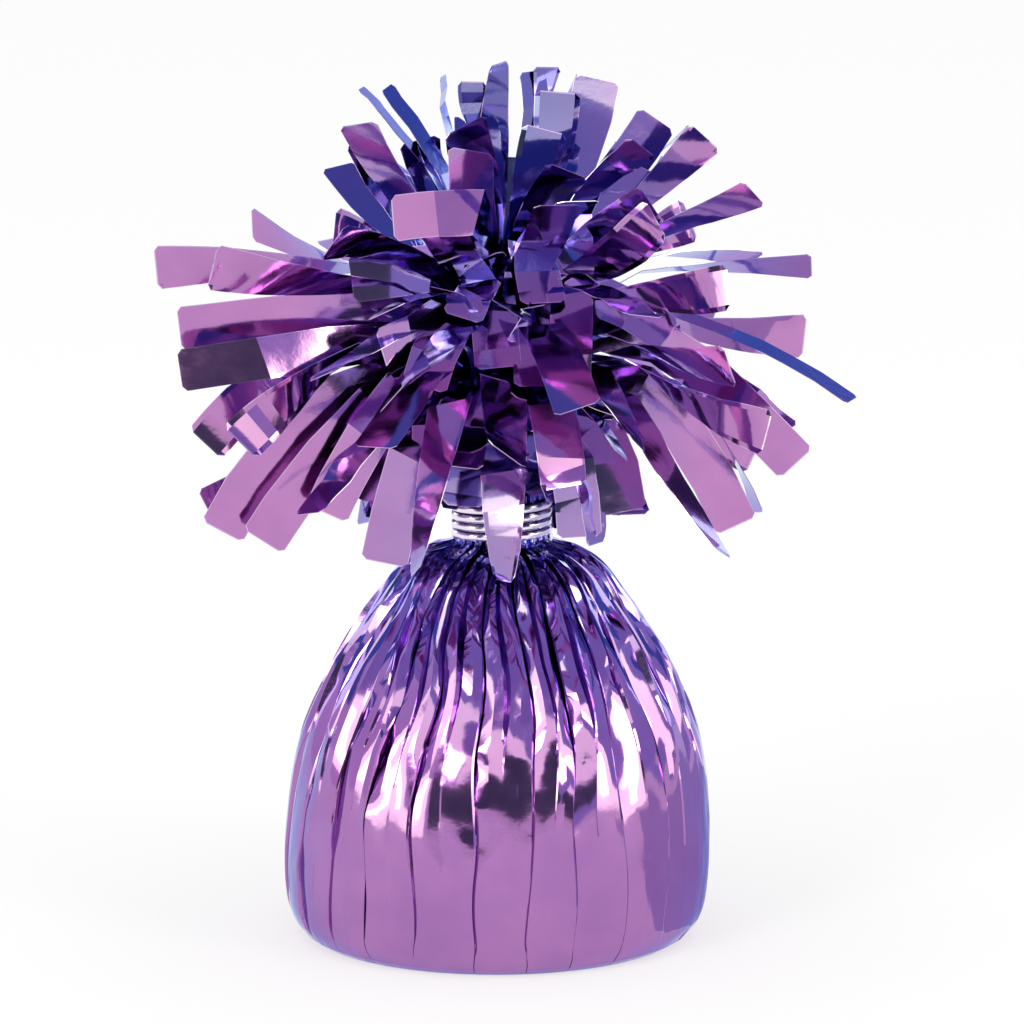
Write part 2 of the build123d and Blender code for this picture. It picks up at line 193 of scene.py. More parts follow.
def film_material(name, dull, bright, painted_shade_colour, painted_shade_reach, painted_edge_highlights):
    """Purple lacquer over a mirror of vapour-deposited aluminium, with fine crinkles, a painted bluer
    shade towards the axis and, if asked, painted highlights along the cut edges.
    """
    made = bpy.data.materials.new(name)
    made.use_nodes = True
    nodes, links = made.node_tree.nodes, made.node_tree.links
    shader = nodes["Principled BSDF"]
    shader.inputs["Metallic"].default_value = 1.0
    shader.inputs["Specular Tint"].default_value = (0.4, 0.55, 1.0, 1)
    shader.inputs["Coat Weight"].default_value = 0.6
    shader.inputs["Coat Roughness"].default_value = 0.04
    shader.inputs["Coat IOR"].default_value = 1.55
    place = nodes.new("ShaderNodeTexCoord")
    lacquer = nodes.new("ShaderNodeTexNoise")
    lacquer.inputs["Scale"].default_value = 110
    lacquer.inputs["Detail"].default_value = 3
    links.new(place.outputs["Object"], lacquer.inputs["Vector"])
    shades = nodes.new("ShaderNodeValToRGB")
    shades.color_ramp.elements[0].position = 0.35
    shades.color_ramp.elements[0].color = (*dull, 1)
    shades.color_ramp.elements[1].position = 0.65
    shades.color_ramp.elements[1].color = (*bright, 1)
    links.new(lacquer.outputs["Fac"], shades.inputs["Fac"])
    # Painted shade and reflection: towards the axis the colour turns bluer and darker, for crowded film
    # that mirrors itself again and again, which leaves mostly its blue
    across = nodes.new("ShaderNodeVectorMath")
    across.operation = "MULTIPLY"
    across.inputs[1].default_value = (1, 1, 0)
    links.new(place.outputs["Object"], across.inputs[0])
    reach = nodes.new("ShaderNodeVectorMath")
    reach.operation = "LENGTH"
    links.new(across.outputs["Vector"], reach.inputs[0])
    painted_shade_amount = nodes.new("ShaderNodeMapRange")
    painted_shade_amount.inputs["From Min"].default_value = 0.008
    painted_shade_amount.inputs["From Max"].default_value = painted_shade_reach
    painted_shade_amount.inputs["To Min"].default_value = 0.85
    painted_shade_amount.inputs["To Max"].default_value = 0.0
    links.new(reach.outputs["Value"], painted_shade_amount.inputs["Value"])
    painted_shade_mix = nodes.new("ShaderNodeMix")
    painted_shade_mix.data_type = "RGBA"
    painted_shade_mix.inputs["B"].default_value = (*painted_shade_colour, 1)
    links.new(painted_shade_amount.outputs["Result"], painted_shade_mix.inputs["Factor"])
    links.new(shades.outputs["Color"], painted_shade_mix.inputs["A"])
    colour = painted_shade_mix.outputs["Result"]
    # Painted highlight: a pale lilac band along the sides and the end of each strip, for the light that
    # the cut edges catch
    if painted_edge_highlights:
        spots = nodes.new("ShaderNodeSeparateXYZ")
        links.new(place.outputs["UV"], spots.inputs["Vector"])
        middle = nodes.new("ShaderNodeMath")
        middle.operation = "SUBTRACT"
        middle.inputs[1].default_value = 0.5
        links.new(spots.outputs["X"], middle.inputs[0])
        aside = nodes.new("ShaderNodeMath")
        aside.operation = "ABSOLUTE"
        links.new(middle.outputs["Value"], aside.inputs[0])
        side_highlight_band = nodes.new("ShaderNodeMath")
        side_highlight_band.operation = "GREATER_THAN"
        side_highlight_band.inputs[1].default_value = 0.465
        links.new(aside.outputs["Value"], side_highlight_band.inputs[0])
        end_highlight_band = nodes.new("ShaderNodeMath")
        end_highlight_band.operation = "GREATER_THAN"
        end_highlight_band.inputs[1].default_value = 0.988
        links.new(spots.outputs["Y"], end_highlight_band.inputs[0])
        edge_highlight_band = nodes.new("ShaderNodeMath")
        edge_highlight_band.operation = "MAXIMUM"
        links.new(side_highlight_band.outputs["Value"], edge_highlight_band.inputs[0])
        links.new(end_highlight_band.outputs["Value"], edge_highlight_band.inputs[1])
        edge_highlighted = nodes.new("ShaderNodeMix")
        edge_highlighted.data_type = "RGBA"
        edge_highlighted.inputs["B"].default_value = (0.68, 0.48, 0.74, 1)
        links.new(edge_highlight_band.outputs["Value"], edge_highlighted.inputs["Factor"])
        links.new(colour, edge_highlighted.inputs["A"])
        colour = edge_highlighted.outputs["Result"]
    links.new(colour, shader.inputs["Base Color"])
    haze = nodes.new("ShaderNodeTexNoise")
    haze.inputs["Scale"].default_value = 420
    haze.inputs["Detail"].default_value = 4
    links.new(place.outputs["Object"], haze.inputs["Vector"])
    gloss = nodes.new("ShaderNodeMapRange")
    gloss.inputs["To Min"].default_value = 0.05
    gloss.inputs["To Max"].default_value = 0.15
    links.new(haze.outputs["Fac"], gloss.inputs["Value"])
    links.new(gloss.outputs["Result"], shader.inputs["Roughness"])
    crinkle = nodes.new("ShaderNodeBump")
    crinkle.inputs["Strength"].default_value = 0.12
    crinkle.inputs["Distance"].default_value = 0.0002
    links.new(haze.outputs["Fac"], crinkle.inputs["Height"])
    links.new(crinkle.outputs["Normal"], shader.inputs["Normal"])
    return made


def between(points, share):
    """A smooth curve through four values, from the second to the third."""
    before, first, second, after = points
    rise, fall = (second - before) / 2, (after - first) / 2
    square, cube = share**2, share**3
    return (
        (2 * cube - 3 * square + 1) * first
        + (cube - 2 * square + share) * rise
        + (3 * square - 2 * cube) * second
        + (cube - square) * fall
    )


def kinked(line, travel):
    """Height of a creased line at this travel: straight between its kinks."""
    for (start, low), (end, high) in zip(line, line[1:]):
        if travel <= end:
            return low + (high - low) * (travel - start) / (end - start)
    return line[-1][1]


def kinked_line(dice, reach):
    """A line of film with kinks at uneven steps, each pushed in or out."""
    line, travel = [(0.0, 0.0)], dice.uniform(0, KINK_FAR)
    while travel < reach:
        line.append((travel, dice.uniform(-1, 1)))
        travel += dice.uniform(KINK_NEAR, KINK_FAR)
    return line + [(reach + KINK_FAR, 0.0)]


def pleat_angle(pleat):
    """Angle of one fold, which strays a little from its even place."""
    step = 2 * pleat - 1
    stray = PLEAT_WANDER * math.sin(PLEAT_BEAT * (step % (2 * PLEATS)))
    return math.pi * (step + stray) / PLEATS


def grown(height, change):
    """How far a change of the film has come at this height, from 0 to 1."""
    start, rise = change
    return min(1.0, max(0.0, (height - start) / rise))


wrap_rows = []
for index, place in enumerate(WRAP_LINE[:-1]):
    near = [WRAP_LINE[min(max(index + offset, 0), len(WRAP_LINE) - 1)] for offset in (-1, 0, 1, 2)]
    rows = place[2]
    for row in range(rows):
        wrap_rows.append([between([spot[k] for spot in near], row / rows) for k in (0, 1, 3, 4)])
wrap_rows.append([WRAP_LINE[-1][k] for k in (0, 1, 3, 4)])
travels = [0.0]
for start, end in zip(wrap_rows, wrap_rows[1:]):
    travels.append(travels[-1] + math.hypot(end[0] - start[0], end[1] - start[1]))

dice = random.Random(WRAP_SEED)
panel_lines = [[kinked_line(dice, travels[-1]) for line in range(PANEL_LINES)] for panel in range(PLEATS)]
panel_step = [dice.uniform(*PANEL_STEPS) for panel in range(PLEATS)]
panel_nod = [dice.uniform(-1, 1) for panel in range(PLEATS)]
tuck_start = [dice.uniform(*TUCK_STARTS) for panel in range(PLEATS)]
fold_share = [FRONT_FOLDS.get(fold, dice.choice(OTHER_FOLDS)) for fold in range(PLEATS)]
fold_mouth = [dice.choice(FOLD_MOUTHS) for fold in range(PLEATS)]
bpy.ops.mesh.primitive_grid_add(
    x_subdivisions=PLEATS * PANEL_COLUMNS, y_subdivisions=len(wrap_rows) - 1, size=1
)
wrap = bpy.context.object
wrap.name = "film_wrap"
wrap_points = []
for number, (radius, height, depth, crumple) in enumerate(wrap_rows):
    after = wrap_rows[min(number + 1, len(wrap_rows) - 1)]
    before = wrap_rows[max(number - 1, 0)]
    slope = Vector((after[0] - before[0], after[1] - before[1])).normalized()
    outward = Vector((slope.y, -slope.x))
    wall = grown(height, WALL)
    gathered = grown(height, GATHER)
    neck = grown(height, NECK)
    smooth, loose = 1 - gathered, 1 - neck
    pillow = PILLOW_DEPTH * grown(height, PILLOW) * loose
    slump = WRAP_SLUMP * max(0.0, 1 - height / SLUMP_HEIGHT)
    lip = LIP_DROP * wall * loose
    tuck_lip = TUCK_LIP + TUCK_SPREAD * gathered * loose
    for column in range(PLEATS * PANEL_COLUMNS + 1):
        panel, part = divmod(column, PANEL_COLUMNS)
        panel %= PLEATS
        next_fold = (panel + 1) % PLEATS
        # Where the columns lie on the panel: fold, lip, smooth run, tuck, smooth run and lip
        tuck = (1 + TUCK_WANDER * math.sin(TUCK_BEAT * panel)) / 2
        before_tuck, after_tuck = tuck - tuck_lip, tuck + tuck_lip
        near = FOLD_GAP + fold_mouth[panel] * gathered + NECK_GAP * neck
        far = 1 - FOLD_GAP - fold_mouth[next_fold] * gathered - NECK_GAP * neck
        inner, outer = near + LIP_WIDTH, far - LIP_WIDTH
        steps = [step / PANEL_RUN for step in range(PANEL_RUN + 1)]
        places = [0.0, near] + [inner + (before_tuck - inner) * step for step in steps] + [tuck]
        places += [after_tuck + (outer - after_tuck) * step for step in steps] + [far]
        share = places[part]
        # How far each column is pushed out by the kinks, and the tuck pulled in
        heights = [crumple * kinked(line, travels[number]) for line in panel_lines[panel]]
        first, second, third, fourth, fifth, sixth = heights
        first *= 1 + FOLD_RUFFLE * fold_share[panel] * smooth
        sixth *= 1 + FOLD_RUFFLE * fold_share[next_fold] * smooth
        own_tuck = gathered * loose * grown(height, (tuck_start[panel], TUCK_RISE))
        lifts = [
            None, first - lip, first, (first + second) / 2, second, (second + third) / 2, third,
            min(third, fourth) - TUCK_DEPTH * own_tuck,
            fourth, (fourth + fifth) / 2, fifth, (fifth + sixth) / 2, sixth, sixth - lip,
        ]
        if part == 0:
            lift = -depth * (fold_share[panel] * smooth + gathered)
        else:
            aside = 2 * share - 1
            nod = panel_nod[panel] * math.sin(NOD_BEAT * height + NOD_PHASE * panel)
            lift = lifts[part] - pillow * aside**2
            lift += wall * smooth * (panel_step[panel] * aside + NOD_DEPTH * nod)
        start, end = pleat_angle(panel), pleat_angle(panel + 1)
        angle = start + (end - start) * share
        stray = Vector((SWAY_TURN * math.cos(angle), SWAY_TURN * math.sin(angle), SWAY_RISE * height))
        angle += loose * wall * (SWAY + GATHERED_SWAY * gathered) * noise.noise(stray)
        reach = radius + outward.x * lift
        wrap_points.append((
            reach * math.cos(angle) - slump,
            reach * math.sin(angle),
            max(0.0, height + outward.y * lift),
        ))
for vertex, point in zip(wrap.data.vertices, wrap_points):
    vertex.co = point
bpy.ops.object.mode_set(mode="EDIT")
bpy.ops.mesh.select_all(action="SELECT")
bpy.ops.mesh.remove_doubles(threshold=MERGE_REACH)
bpy.ops.mesh.normals_make_consistent(inside=False)
bpy.ops.object.mode_set(mode="OBJECT")
skin = wrap.modifiers.new("skin", "SOLIDIFY")
skin.thickness = FILM_SKIN
bpy.ops.object.modifier_apply(modifier="skin")
bpy.ops.object.shade_smooth_by_angle(angle=FILM_SMOOTH)
# Painted shade: the wrap's copy of the film has a darker lacquer colour than the fringe's
wrap_film = film_material(
    "wrap_film", dull=(0.36, 0.145, 0.43), bright=(0.41, 0.168, 0.46), painted_shade_colour=(0.3, 0.3, 0.72),
    painted_shade_reach=0.03, painted_edge_highlights=False,
)
wrap.data.materials.append(wrap_film)
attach(wrap, "weight")
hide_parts("foil_wrap")
wrap.select_set(False)


# Film bunch: the same sheet, squeezed into a fluted bundle inside the neck. It carries the strips.
BUNCH_LINE = [
    (0.0624, 0.0046), (0.0650, 0.0048), (0.0680, 0.0040), (0.0717, 0.0040), (0.0735, 0.0041),
    (0.0790, 0.0035), (0.0850, 0.0028), (0.0905, 0.0020), (0.0950, 0.0013),
]
BUNCH_FLUTES = 11
FLUTE_COLUMNS = 6
FLUTE_DEPTH = 0.14
FLUTE_TWIST = 25
BUNCH_CRUMPLE = 0.1
CRUMPLE_TURN = 3
CRUMPLE_RISE = 400
BUNCH_FILL = 0.9
BUNCH_DEPTH = 1.0
BUNCH_ROWS = 4 * (len(BUNCH_LINE) - 1)
BUNCH_SMOOTH = math.radians(25)
bpy.ops.mesh.primitive_cylinder_add(
    vertices=BUNCH_FLUTES * FLUTE_COLUMNS, radius=BUNCH_LINE[0][1], depth=BUNCH_DEPTH, end_fill_type="NGON"
)
bunch = bpy.context.object
bunch.name = "film_bunch"
bpy.ops.object.mode_set(mode="EDIT")
bpy.ops.mesh.select_all(action="DESELECT")
bpy.ops.object.mode_set(mode="OBJECT")
for edge in bunch.data.edges:
    ends = [bunch.data.vertices[v].co.z for v in edge.vertices]
    edge.select = abs(ends[0] - ends[1]) > BUNCH_DEPTH / 2
bpy.ops.object.mode_set(mode="EDIT")
bpy.ops.mesh.subdivide(number_cuts=BUNCH_ROWS - 1)
bpy.ops.object.mode_set(mode="OBJECT")
for vertex in bunch.data.vertices:
    step = (vertex.co.z / BUNCH_DEPTH + 0.5) * (len(BUNCH_LINE) - 1)
    index = min(int(step), len(BUNCH_LINE) - 2)
    (low, low_radius), (high, high_radius) = BUNCH_LINE[index], BUNCH_LINE[index + 1]
    height = low + (high - low) * (step - index)
    radius = low_radius + (high_radius - low_radius) * (step - index)
    angle = math.atan2(vertex.co.y, vertex.co.x)
    spot = Vector((CRUMPLE_TURN * math.cos(angle), CRUMPLE_TURN * math.sin(angle), CRUMPLE_RISE * height))
    flute = FLUTE_DEPTH * math.sin(BUNCH_FLUTES * angle + FLUTE_TWIST * height)
    radius *= BUNCH_FILL + flute + BUNCH_CRUMPLE * noise.noise(spot)
    vertex.co = (radius * math.cos(angle), radius * math.sin(angle), height)
bpy.ops.object.shade_smooth_by_angle(angle=BUNCH_SMOOTH)
bunch.data.materials.append(wrap_film)
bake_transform(bunch)
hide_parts("neck_gather", "fringe_stem")
bunch.select_set(False)

# Film flare: the outer layers of the bunch, which spread as soon as they leave the tie. They are
# creased into broad flutes, and their upper edge is torn unevenly where the strips begin.
FLARE_LINE = [
    (0.0729, 0.0058, 0.0000), (0.0736, 0.0076, 0.0007), (0.0749, 0.0093, 0.0013),
    (0.0767, 0.0108, 0.0018), (0.0789, 0.0121, 0.0024),
]
FLARE_FLUTES = 14
FLARE_COLUMNS = 4
FLARE_ROWS = 16
FLARE_SEED = 23
FLARE_TRAVEL = 0.012
FLARE_START = 0.004
FLARE_CRUMPLE = 0.0004
FLARE_STRAY = 0.03
FLARE_BEAT = 3
FLUTE_DEPTHS = (0.5, 1.3)
FLUTE_TOPS = (-0.0016, 0.0012)
flare_dice = random.Random(FLARE_SEED)
flute_depth = [flare_dice.uniform(*FLUTE_DEPTHS) for flute in range(FLARE_FLUTES)]
flute_top = [flare_dice.uniform(*FLUTE_TOPS) for flute in range(FLARE_FLUTES)]
flute_lines = [kinked_line(flare_dice, FLARE_TRAVEL) for line in range(2 * FLARE_FLUTES)]
flare_around = FLARE_FLUTES * FLARE_COLUMNS
bpy.ops.mesh.primitive_grid_add(x_subdivisions=flare_around, y_subdivisions=FLARE_ROWS, size=1)
flare = bpy.context.object
flare.name = "flared_film"
for vertex in flare.data.vertices:
    column = round((vertex.co.x + 0.5) * flare_around) % flare_around
    flute, part = divmod(column, FLARE_COLUMNS)
    share = vertex.co.y + 0.5
    step = share * (len(FLARE_LINE) - 1)
    index = min(int(step + MERGE_REACH), len(FLARE_LINE) - 2)
    low, high = FLARE_LINE[index], FLARE_LINE[index + 1]
    height, radius, depth = [a + (b - a) * (step - index) for a, b in zip(low, high)]
    travel = FLARE_TRAVEL * share
    ridge = 1 - abs(part - FLARE_COLUMNS / 2) / (FLARE_COLUMNS / 2)
    line = flute_lines[2 * flute + (1 if part >= FLARE_COLUMNS / 2 else 0)]
    radius -= depth * flute_depth[flute if ridge else flute - 1] * (1 - ridge)
    radius += FLARE_CRUMPLE * kinked(line, travel) * min(1.0, travel / FLARE_START)
    height += flute_top[flute] * ridge * share**2
    angle = 2 * math.pi * column / flare_around + FLARE_STRAY * math.sin(FLARE_BEAT * flute)
    vertex.co = (radius * math.cos(angle), radius * math.sin(angle), height)
bpy.ops.object.mode_set(mode="EDIT")
bpy.ops.mesh.select_all(action="SELECT")
bpy.ops.mesh.remove_doubles(threshold=MERGE_REACH)
bpy.ops.mesh.normals_make_consistent(inside=False)
bpy.ops.object.mode_set(mode="OBJECT")
skin = flare.modifiers.new("skin", "SOLIDIFY")
skin.thickness = FILM_SKIN
bpy.ops.object.modifier_apply(modifier="skin")
bpy.ops.object.shade_smooth_by_angle(angle=FILM_SMOOTH)
flare.data.materials.append(wrap_film)
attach(flare, "fringe")
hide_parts("film_flare")
flare.select_set(False)


# Neck tie: four and a half turns of flat silvered wire, wound tight round the gathered film by
# machine. Its ends are cut off flush and lie against the turns.
TIE_RADIUS = 0.0079
TIE_START = 0.0643
TIE_PITCH = 0.00145
TIE_TURNS = 4.5
TIE_HEIGHT = 0.00128
TIE_FLATNESS = 0.42
POINTS_PER_TURN = 16
TIE_SMOOTH = math.radians(40)
bpy.ops.curve.primitive_nurbs_path_add()
tie = bpy.context.object
tie.name = "wound_tie"
tie.data.splines.clear()
turns = tie.data.splines.new("NURBS")
point_count = int(TIE_TURNS * POINTS_PER_TURN) + 1
turns.points.add(point_count - 1)
for number, point in enumerate(turns.points):
    angle = 2 * math.pi * number / POINTS_PER_TURN
    height = TIE_START + TIE_PITCH * number / POINTS_PER_TURN
    point.co = (TIE_RADIUS * math.cos(angle), TIE_RADIUS * math.sin(angle), height, 1)
turns.order_u = 3
turns.use_endpoint_u = True
turns.resolution_u = 3
tie.data.dimensions = "3D"
tie.data.bevel_depth = TIE_HEIGHT / 2
tie.data.bevel_resolution = 3
tie.data.use_fill_caps = True
bpy.ops.object.convert(target="MESH")
tie = bpy.context.object
for vertex in tie.data.vertices:
    reach = math.hypot(vertex.co.x, vertex.co.y)
    flatter = (TIE_RADIUS + (reach - TIE_RADIUS) * TIE_FLATNESS) / reach
    vertex.co.x *= flatter
    vertex.co.y *= flatter
bpy.ops.object.shade_smooth_by_angle(angle=TIE_SMOOTH)
silver = bpy.data.materials.new("silvered_wire")
silver.use_nodes = True
nodes, links = silver.node_tree.nodes, silver.node_tree.links
shader = nodes["Principled BSDF"]
shader.inputs["Metallic"].default_value = 1.0
place = nodes.new("ShaderNodeTexCoord")
drawn = nodes.new("ShaderNodeTexNoise")
drawn.inputs["Scale"].default_value = 600
drawn.inputs["Detail"].default_value = 3
links.new(place.outputs["Object"], drawn.inputs["Vector"])
tints = nodes.new("ShaderNodeValToRGB")
tints.color_ramp.elements[0].color = (0.78, 0.66, 0.8, 1)
tints.color_ramp.elements[1].color = (0.93, 0.88, 0.93, 1)
links.new(drawn.outputs["Fac"], tints.inputs["Fac"])
links.new(tints.outputs["Color"], shader.inputs["Base Color"])
rubbed = nodes.new("ShaderNodeMapRange")
rubbed.inputs["To Min"].default_value = 0.1
rubbed.inputs["To Max"].default_value = 0.28
links.new(drawn.outputs["Fac"], rubbed.inputs["Value"])
links.new(rubbed.outputs["Result"], shader.inputs["Roughness"])
tie.data.materials.append(silver)
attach(tie, "weight")
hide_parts("neck_tie")
tie.select_set(False)


# Fringe: everything of the sheet above the neck, cut into strips 7 mm wide that leave the bunch
# in nine tiers. Each strip is creased by hand into flat facets, so that it stands out.
NECK_TOP = 0.071725
STEM_FOOT = 0.072625
STEM_HEIGHT = 0.022
STEM_RADIUS = 0.0042
STEM_TIP_RADIUS = 0.0015
ROOT_GAP = 0.0003
ROOT_SPREAD = 0.84
TIER_FIRST = 0.0014
TIER_STEP = 0.0023
STRIP_WIDTH = 0.0072
STRIP_SKIN = 0.00009
SEGMENTS = 6
BENDS = 3
LENGTH_WANDER = 0.09
TAIL_WANDER = 0.24
RISE_WANDER = 3.0
SWING_WANDER = 6.0
ROLL_WANDER = 40.0
SIDE_ROLL = 76.0
ROLL_POWER = 2.2
TIP_BEND = 16.0
STEEPEST = -84.0
TIER_BEAT = 2.7
SLOT_BEAT = 1.9
SLOT_SQUARE_BEAT = 5.1
PHASE_BEAT = 2.3
# Strips in each tier, from the lowest: count, slope at the root, slope at the end, length
TIERS = [
    (8, 66.0, -74.0, 0.036),
    (12, 70.0, -48.0, 0.064),
    (12, 73.5, -31.0, 0.063),
    (12, 75.5, -15.0, 0.063),
    (12, 77.0, 4.0, 0.062),
    (12, 79.0, 24.0, 0.057),
    (10, 80.5, 41.0, 0.054),
    (8, 82.0, 59.0, 0.051),
    (6, 87.0, 77.0, 0.050),
]
CROWN_TIER = 6
CROWN_LEAN = 0.2
# Strips that stand out from their tier: share of the length, extra roll
ODD_STRIPS = {
    (0, 6): (0.95, 70.0), (1, 0): (0.86, 0.0), (1, 8): (0.92, 0.0), (1, 9): (0.7, 20.0),
    (1, 11): (0.84, 30.0), (2, 1): (1.0, 25.0), (2, 5): (0.9, 60.0), (2, 6): (0.88, 0.0),
    (2, 7): (0.85, 20.0), (3, 0): (1.0, 30.0), (3, 1): (1.0, 20.0), (3, 6): (1.0, 0.0),
    (3, 11): (1.0, 35.0), (4, 0): (0.92, 0.0), (4, 4): (1.0, -30.0), (4, 6): (1.0, -35.0),
    (5, 1): (1.0, 20.0), (5, 4): (1.0, -25.0), (5, 5): (0.66, 0.0), (5, 6): (0.7, -45.0),
    (5, 7): (0.85, 0.0), (6, 2): (1.0, 0.0), (6, 4): (0.84, 0.0), (7, 1): (1.0, 0.0),
    (7, 2): (0.8, 60.0), (8, 2): (0.9, 60.0), (8, 3): (0.9, 0.0),
}
# Strips whose tips bend by an angle of their own
ODD_TIPS = {(6, 2): -8.0, (7, 1): 8.0}
CREASE_SKEW = 0.0009
CREASE_DEPTH = 0.00028
STRIP_COLUMNS = (0.0, 0.12, 0.88, 1.0)
CREASE_PLACES = (0.35, 0.65)
CORNER = 0.0009
CORNER_SLANT = 0.8
TWIST_STEP = math.radians(14)
TWIST_PLACES = (0.25, 0.5, 0.75)
STRIP_SMOOTH = math.radians(9)
CREASE_SEED = 5


def wander(tier, slot, phase):
    """A steady, uneven value from -1 to 1 for one strip."""
    return math.sin(TIER_BEAT * tier + SLOT_SQUARE_BEAT * slot**2 + SLOT_BEAT * slot + PHASE_BEAT * phase)


def strip_folds(tier, slot):
    """Place, heading, width direction and width at each fold of one strip."""
    count, leave, end, length = TIERS[tier]
    root_height = NECK_TOP + TIER_FIRST + tier * TIER_STEP
    taper = max(0.0, root_height - STEM_FOOT) / STEM_HEIGHT
    root_radius = STEM_RADIUS + (STEM_TIP_RADIUS - STEM_RADIUS) * taper + ROOT_GAP
    around = 2 * math.pi / count * (slot + tier % 2 / 2)
    sideways = math.cos(around)
    if tier >= CROWN_TIER:
        sideways = max(0.0, sideways)
    end += RISE_WANDER * wander(tier, slot, 2)
    swing = math.radians(SWING_WANDER * wander(tier, slot, 3))
    tail = 1 - TAIL_WANDER * (1 + wander(tier, slot, 6)) / 2
    share, extra_roll = ODD_STRIPS.get((tier, slot), (tail, 0.0))
    roll = math.radians(ROLL_WANDER * wander(tier, slot, 4) - SIDE_ROLL * sideways + extra_roll)
    tip = ODD_TIPS.get((tier, slot), TIP_BEND * wander(tier, slot, 5))
    length *= 1 + LENGTH_WANDER * wander(tier, slot, 1)
    bend_step = length / SEGMENTS
    tail_step = (share * length - BENDS * bend_step) / (SEGMENTS - BENDS)
    lean = Vector((CROWN_LEAN if tier >= CROWN_TIER else 0.0, 0, 0))
    spread = 2 * ROOT_SPREAD * math.tan(math.pi / count)
    headings = []
    for segment in range(SEGMENTS):
        slope = leave + (end - leave) * min(1.0, segment / BENDS)
        slope += tip * max(0, segment - BENDS) / (SEGMENTS - 1 - BENDS)
        rise = math.radians(max(STEEPEST, slope))
        turn = around + swing * segment / SEGMENTS
        flat = Vector((math.cos(turn), math.sin(turn), 0))
        upright = flat * math.cos(rise) + Vector((0, 0, math.sin(rise)))
        headings.append((upright + lean * (segment / SEGMENTS)).normalized())
    place = Vector((root_radius * math.cos(around), root_radius * math.sin(around), root_height))
    folds = []
    for fold in range(SEGMENTS + 1):
        before = headings[max(0, fold - 1)]
        after = headings[min(SEGMENTS - 1, fold)]
        along = (before + after).normalized()
        across = Vector((0, 0, 1)).cross(along).normalized()
        across.rotate(Matrix.Rotation(roll * (fold / SEGMENTS) ** ROLL_POWER, 3, along))
        width = min(STRIP_WIDTH, spread * math.hypot(place.x, place.y))
        folds.append((place.copy(), along, across, width))
        place = place + after * (bend_step if fold < BENDS else tail_step)
    return folds


def lay_strip(name, folds, creases):
    """A strip of film through these folds: flat facets, skewed creases and a square-cut end."""
    lines = []
    for number, (place, along, across, width) in enumerate(folds):
        if number > 0:
            last_place, _, last_across, last_width = folds[number - 1]
            last_segment = number == len(folds) - 1
            twisted = last_across.angle(across) > TWIST_STEP
            shares = list(TWIST_PLACES) if twisted else [creases.uniform(*CREASE_PLACES)]
            if last_segment:
                shares.append(1 - CORNER / (place - last_place).length)
            for step, share in enumerate(shares):
                creased = step == 0 and not twisted
                middle = last_place.lerp(place, share)
                side = last_across.lerp(across, share).normalized()
                depth = creases.uniform(-CREASE_DEPTH, CREASE_DEPTH) if creased else 0.0
                bump = side.cross(along).normalized() * depth
                breadth = last_width + (width - last_width) * share
                lines.append((middle + bump, along, side, breadth, creased))
        lines.append((place, along, across, width, 0 < number < len(folds) - 1))
    edges = []
    for place, along, across, width, creased in lines:
        skew = along * (creases.uniform(-CREASE_SKEW, CREASE_SKEW) if creased else 0.0)
        edges.append((place + across * width / 2 + skew, place - across * width / 2 - skew))
    bpy.ops.mesh.primitive_grid_add(
        x_subdivisions=len(STRIP_COLUMNS) - 1, y_subdivisions=len(lines) - 1, size=1
    )
    strip = bpy.context.object
    strip.name = name
    for vertex in strip.data.vertices:
        share = STRIP_COLUMNS[round((vertex.co.x + 0.5) * (len(STRIP_COLUMNS) - 1))]
        row = round((vertex.co.y + 0.5) * (len(lines) - 1))
        left, right = edges[row]
        vertex.co = left.lerp(right, share)
        if row == len(lines) - 1 and share in (0.0, 1.0):
            vertex.co -= folds[-1][1] * CORNER * CORNER_SLANT
    return strip


def finish_strips(piece, name):
    """Gives joined strips their thickness, sharp creases and film."""
    piece.name = name
    piece.data.name = name
    skin = piece.modifiers.new("skin", "SOLIDIFY")
    skin.thickness = STRIP_SKIN
    skin.offset = 0
    bpy.ops.object.modifier_apply(modifier="skin")
    bpy.ops.object.shade_smooth_by_angle(angle=STRIP_SMOOTH)
    piece.data.materials.append(fringe_film)


def join_strips(strips):
    """One piece of all these strips, with its place in its mesh."""
    bpy.ops.object.select_all(action="DESELECT")
    for strip in strips:
        strip.select_set(True)
    bpy.context.view_layer.objects.active = strips[0]
    bpy.ops.object.join()
    return strips[0]


LOOSE_TIER = 4
# Painted light: the fringe's copy of the film has a lighter lacquer colour than the wrap's, for strips
# that stand further out and mirror less crowded film
fringe_film = film_material(
    "fringe_film", dull=(0.43, 0.18, 0.46), bright=(0.49, 0.208, 0.5), painted_shade_colour=(0.21, 0.235, 0.52),
    painted_shade_reach=0.034, painted_edge_highlights=True,
)
creases = random.Random(CREASE_SEED)
for tier, row in enumerate(TIERS):
    strips = []
    for slot in range(row[0]):
        if tier == LOOSE_TIER and slot % 2 == 0:
            continue
        strips.append(lay_strip(f"strip_{tier}_{slot}", strip_folds(tier, slot), creases))
    piece = join_strips(strips)
    finish_strips(piece, f"fringe_strips_{tier + 1}")
    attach(piece, "fringe")
    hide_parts(f"fringe_tier_{tier + 1}")
    piece.select_set(False)

# Loose strips: every second strip of the fifth tier, cut from the same film. They aren't held by
# their neighbours.
LOOSE_FOLD = 2
for slot in range(0, TIERS[LOOSE_TIER][0], 2):
    folds = strip_folds(LOOSE_TIER, slot)
    number = slot // 2 + 1
    strip = lay_strip(f"loose_film_{number}", folds, creases)
    finish_strips(strip, f"loose_film_{number}")
    place, along = folds[LOOSE_FOLD][:2]
    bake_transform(strip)
    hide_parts(f"loose_strip_{number}")
    strip.select_set(False)

